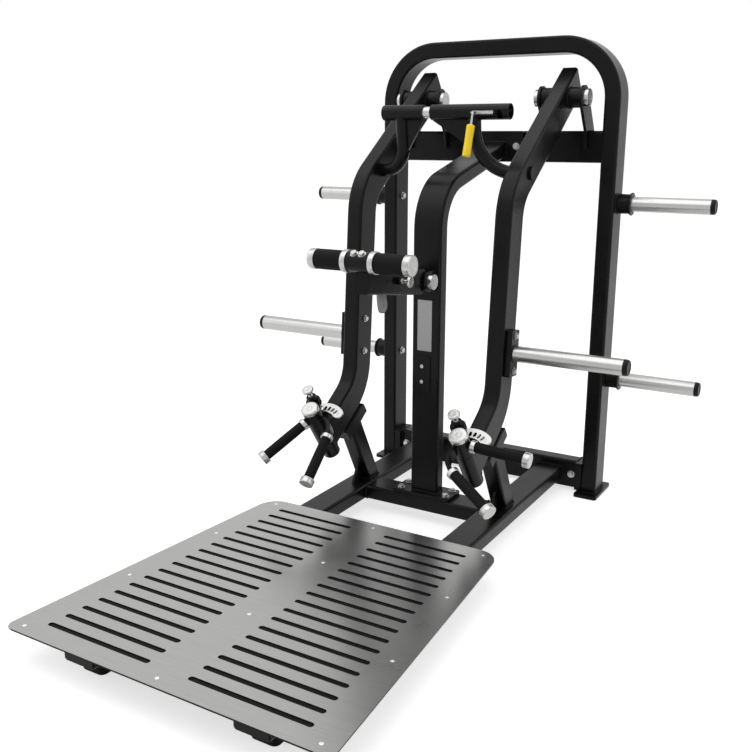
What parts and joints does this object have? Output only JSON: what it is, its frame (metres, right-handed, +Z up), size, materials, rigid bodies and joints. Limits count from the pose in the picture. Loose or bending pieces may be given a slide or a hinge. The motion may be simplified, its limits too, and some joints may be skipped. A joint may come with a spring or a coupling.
{
  "type": "low row and deadlift machine",
  "caption": "Free-standing low row and deadlift machine: plate-loaded swing arms with turning handles, an arm link bolt, a tilting T-bar and a slotted standing platform.",
  "frame": {"origin": "on the floor, below the centre of the machine's outline", "axes": "+X to the machine's right seen from the user's platform, +Y from the platform towards the rear hoop, +Z up"},
  "size_m": [1.53, 1.93, 1.591],
  "materials": {
    "powder_black": "fine-textured satin powder coat",
    "rubber_black": "matt moulded rubber",
    "plastic_black": "moulded end cap",
    "zinc_silver": "bright plated and turned",
    "sleeve_steel": "satin turned steel",
    "sheet_steel": "dark satin sheet, slots cut through",
    "plate_grey": "dark grey coat",
    "label_aluminium": "bare satin plate",
    "yellow_plastic": "moulded yellow grip"
  },
  "bodies": {
    "frame": {"hoop_frame": "powder_black", "foot_plates": "powder_black", "foot_pads": "rubber_black", "upper_crossbeam": "powder_black", "lower_crossbeam": "powder_black", "flange_plates": "powder_black", "side_rails": "powder_black", "post_cross_member": "powder_black", "centre_post": "powder_black", "frame_fasteners": "zinc_silver", "label_plate": "label_aluminium", "post_cover_plate": "powder_black", "platform_sheet": "sheet_steel", "platform_mat": "rubber_black", "rest_struts": "powder_black", "rest_pads": "rubber_black", "pivot_brackets": "powder_black", "pivot_axles": "zinc_silver", "pivot_bearings": "sleeve_steel", "storage_bosses": "powder_black", "storage_sleeves": "sleeve_steel", "storage_caps": "plastic_black", "t_bar_bracket": "powder_black", "t_bar_position_plate": "plate_grey", "t_bar_pivot_pin": "zinc_silver"},
    "right_arm": {"right_arm_tube": "powder_black", "right_arm_pivot_housing": "powder_black", "right_horn_bracket": "powder_black", "right_horn_sleeve": "sleeve_steel", "right_horn_cap": "plastic_black", "right_horn_bolts": "zinc_silver", "right_handle_housing": "powder_black", "right_sector_plate": "zinc_silver", "right_link_carrier": "powder_black"},
    "left_arm": {"left_arm_tube": "powder_black", "left_arm_pivot_housing": "powder_black", "left_horn_bracket": "powder_black", "left_horn_sleeve": "sleeve_steel", "left_horn_cap": "plastic_black", "left_horn_bolts": "zinc_silver", "left_handle_housing": "powder_black", "left_sector_plate": "zinc_silver", "left_link_carrier": "powder_black"},
    "right_handle": {"right_handle_head": "powder_black", "right_handle_axle": "zinc_silver", "right_handle_grips": "rubber_black", "right_handle_trim": "zinc_silver"},
    "left_handle": {"left_handle_head": "powder_black", "left_handle_axle": "zinc_silver", "left_handle_grips": "rubber_black", "left_handle_trim": "zinc_silver"},
    "right_pin": {"right_handle_pin": "zinc_silver"},
    "left_pin": {"left_handle_pin": "zinc_silver"},
    "link_slider": {"link_bolt": "zinc_silver", "link_lever_grip": "yellow_plastic"},
    "t_bar": {"t_bar_beam": "powder_black", "t_bar_crossbar": "powder_black", "t_bar_grips": "rubber_black", "t_bar_trim": "zinc_silver"},
    "t_bar_pin": {"t_bar_pull_pin": "zinc_silver"}
  },
  "joints": [
    {"name": "right_arm_swing", "type": "hinge", "parent": "frame", "child": "right_arm", "pos_m": [0.262, 0.7935, 1.391], "axis": [-1, 0, 0], "range_deg": [0, 50]},
    {"name": "left_arm_swing", "type": "hinge", "parent": "frame", "child": "left_arm", "pos_m": [-0.262, 0.7935, 1.391], "axis": [-1, 0, 0], "range_deg": [0, 50]},
    {"name": "right_handle_turn", "type": "hinge", "parent": "right_arm", "child": "right_handle", "pos_m": [0.262, 0.12894, 0.31175], "axis": [0, -0.5664, 0.8241], "range_deg": [-60, 0]},
    {"name": "left_handle_turn", "type": "hinge", "parent": "left_arm", "child": "left_handle", "pos_m": [-0.262, 0.12894, 0.31175], "axis": [0, -0.5664, 0.8241], "range_deg": [-60, 0]},
    {"name": "right_pin_pull", "type": "slide", "parent": "right_handle", "child": "right_pin", "axis": [0, -0.5664, 0.8241], "range_m": [0, 0.01], "stiffness_N_per_m": 800, "springref_m": -0.01},
    {"name": "left_pin_pull", "type": "slide", "parent": "left_handle", "child": "left_pin", "axis": [0, -0.5664, 0.8241], "range_m": [0, 0.01], "stiffness_N_per_m": 800, "springref_m": -0.01},
    {"name": "link_bolt_slide", "type": "slide", "parent": "right_arm", "child": "link_slider", "axis": [1, 0, 0], "range_m": [0, 0.08]},
    {"name": "t_bar_tilt", "type": "hinge", "parent": "frame", "child": "t_bar", "pos_m": [0, 0.2945, 0.826], "axis": [1, 0, 0], "range_deg": [0, 24.8]},
    {"name": "t_bar_pin_pull", "type": "slide", "parent": "t_bar", "child": "t_bar_pin", "axis": [1, 0, 0], "range_m": [0, 0.012], "stiffness_N_per_m": 800, "springref_m": -0.01}
  ],
  "couplings": [
    {"joint": "left_arm_swing", "follows": "right_arm_swing", "ratio": 1}
  ]
}
